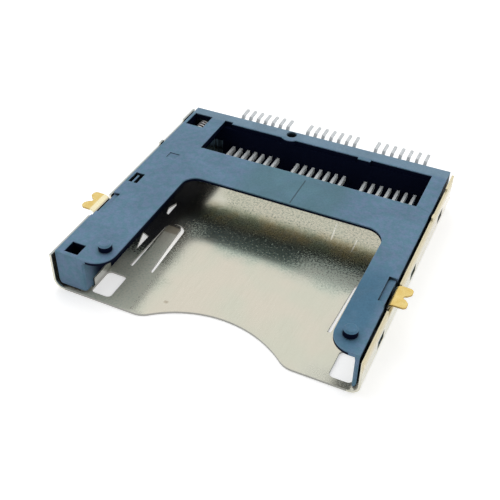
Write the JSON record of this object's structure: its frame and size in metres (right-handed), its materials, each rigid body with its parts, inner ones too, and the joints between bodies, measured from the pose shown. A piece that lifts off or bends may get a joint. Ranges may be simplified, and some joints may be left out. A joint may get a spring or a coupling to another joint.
{
  "type": "push-push memory card socket",
  "caption": "Board-mounted push-push socket for a memory card: U-shaped plastic housing on a folded steel cover, rows of pin contacts, solder tails, hold-downs and a sprung ejector.",
  "frame": {"origin": "middle of the socket's bounding box in plan, on the underside of the steel cover", "axes": "+X across the width, with the ejector on the -X side, +Y from the card mouth towards the solder tails, +Z from the cover towards the circuit board face"},
  "size_m": [0.038, 0.0354, 0.006],
  "materials": {
    "moulded_plastic": "fine moulded matte",
    "cover_steel": "nickel-plated, fine rolled grain",
    "gold_plate": "gold flash, satin",
    "slider_plastic": "smooth moulded",
    "spring_steel": "drawn wire",
    "contact_metal": "tin-plated"
  },
  "bodies": {
    "socket": {"housing": "moulded_plastic", "shell": "cover_steel", "hold_down_left": "gold_plate", "hold_down_right": "gold_plate", "eject_spring": "spring_steel", "contact_01": "contact_metal", "contact_02": "contact_metal", "contact_03": "contact_metal", "contact_04": "contact_metal", "contact_05": "contact_metal", "contact_06": "contact_metal", "contact_07": "contact_metal", "contact_08": "contact_metal", "contact_09": "contact_metal", "contact_10": "contact_metal", "contact_11": "contact_metal", "contact_12": "contact_metal", "contact_13": "contact_metal", "contact_14": "contact_metal", "contact_15": "contact_metal", "contact_16": "contact_metal", "contact_17": "contact_metal", "contact_18": "contact_metal", "contact_19": "contact_metal", "contact_20": "contact_metal", "contact_21": "contact_metal"},
    "slider": {"eject_slider": "slider_plastic"},
    "follower": {"cam_follower": "spring_steel"}
  },
  "joints": [
    {"name": "slider_travel", "type": "slide", "parent": "socket", "child": "slider", "axis": [0, 1, 0], "range_m": [0, 0.0048], "stiffness_N_per_m": 200, "springref_m": -0.002, "deforming": ["eject_spring"]},
    {"name": "follower_swing", "type": "hinge", "parent": "socket", "child": "follower", "pos_m": [-0.01528, -0.01603, 0.00055], "axis": [0, 0, 1], "range_deg": [0, 2.3]}
  ],
  "couplings": [
    {"joint": "follower_swing", "follows": "slider_travel", "rad_per_m": 8.2042}
  ]
}
